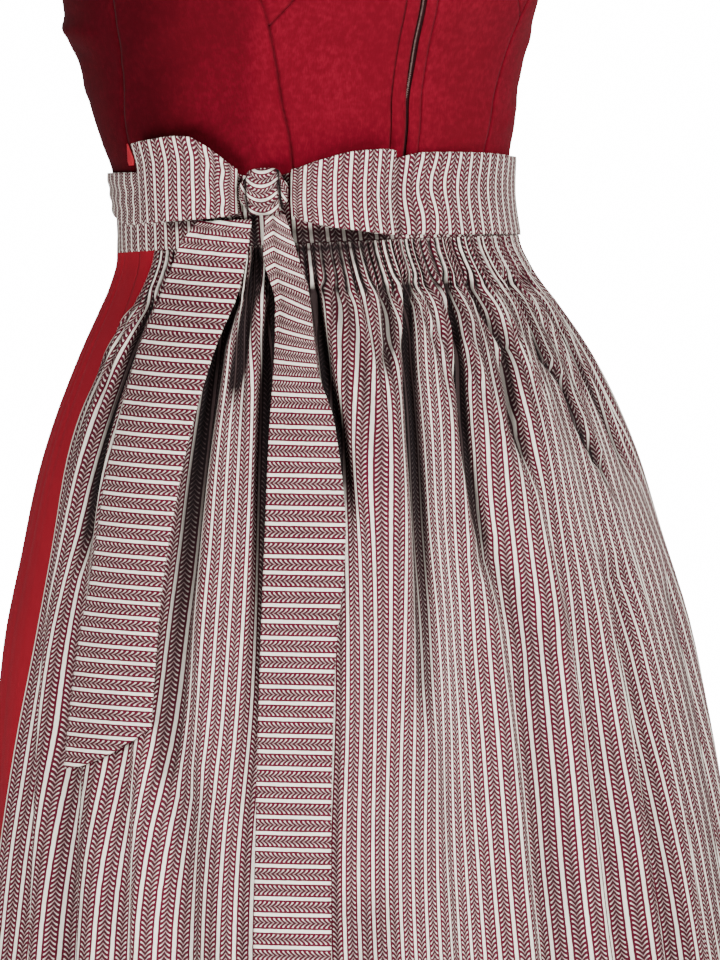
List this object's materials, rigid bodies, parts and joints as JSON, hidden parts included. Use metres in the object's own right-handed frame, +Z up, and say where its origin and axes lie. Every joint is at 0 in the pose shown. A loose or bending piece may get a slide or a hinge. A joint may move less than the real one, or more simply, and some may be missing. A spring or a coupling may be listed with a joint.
{
  "type": "dirndl with tied apron",
  "caption": "Sleeveless folk dress with a fitted zip-front bodice, full red skirt and a striped apron whose ties wrap the waist and end in a bow with two tails.",
  "frame": {"origin": "midway between the two shoulder seams, where the wearer's shoulders carry the dress", "axes": "+Z up, front along -Y, wearer's left along +X"},
  "size_m": [0.5074, 0.4965, 1.0379],
  "materials": {
    "bodice_velvet": "fine red cord velvet with a soft nap",
    "skirt_cloth": "matt red cotton",
    "apron_cloth": "woven burgundy, ivory and near-black herringbone stripe, slightly satiny",
    "label_tab": "smooth bright red ribbon",
    "zip_tape": "woven tape",
    "zip_metal": "dull old brass"
  },
  "bodies": {
    "dress": {"bodice_front_left": "bodice_velvet", "bodice_front_right": "bodice_velvet", "bodice_cup_left": "bodice_velvet", "bodice_cup_right": "bodice_velvet", "bodice_side_front_left": "bodice_velvet", "bodice_side_front_right": "bodice_velvet", "bodice_side_back_left": "bodice_velvet", "bodice_side_back_right": "bodice_velvet", "bodice_back": "bodice_velvet", "zip_welt_left": "bodice_velvet", "zip_welt_right": "bodice_velvet", "zip_tape": "zip_tape", "zip_chain": "zip_metal", "zip_slider": "zip_metal", "skirt_front": "skirt_cloth", "skirt_back": "skirt_cloth", "apron_skirt": "apron_cloth", "apron_waistband": "apron_cloth", "apron_tie_inner_right": "apron_cloth", "apron_tie_inner_left": "apron_cloth", "apron_tie_outer_right": "apron_cloth", "apron_tie_outer_left": "apron_cloth", "bow_loop_right": "apron_cloth", "bow_loop_left": "apron_cloth", "bow_knot": "apron_cloth", "bow_tail_right": "apron_cloth", "bow_tail_left": "apron_cloth", "label_tab": "label_tab"},
    "pull": {"zip_pull": "zip_metal"}
  },
  "joints": [
    {"name": "zip_pull_hinge", "type": "hinge", "parent": "dress", "child": "pull", "pos_m": [0, -0.141, -0.1964], "axis": [-1, 0, 0], "range_deg": [0, 160]}
  ]
}
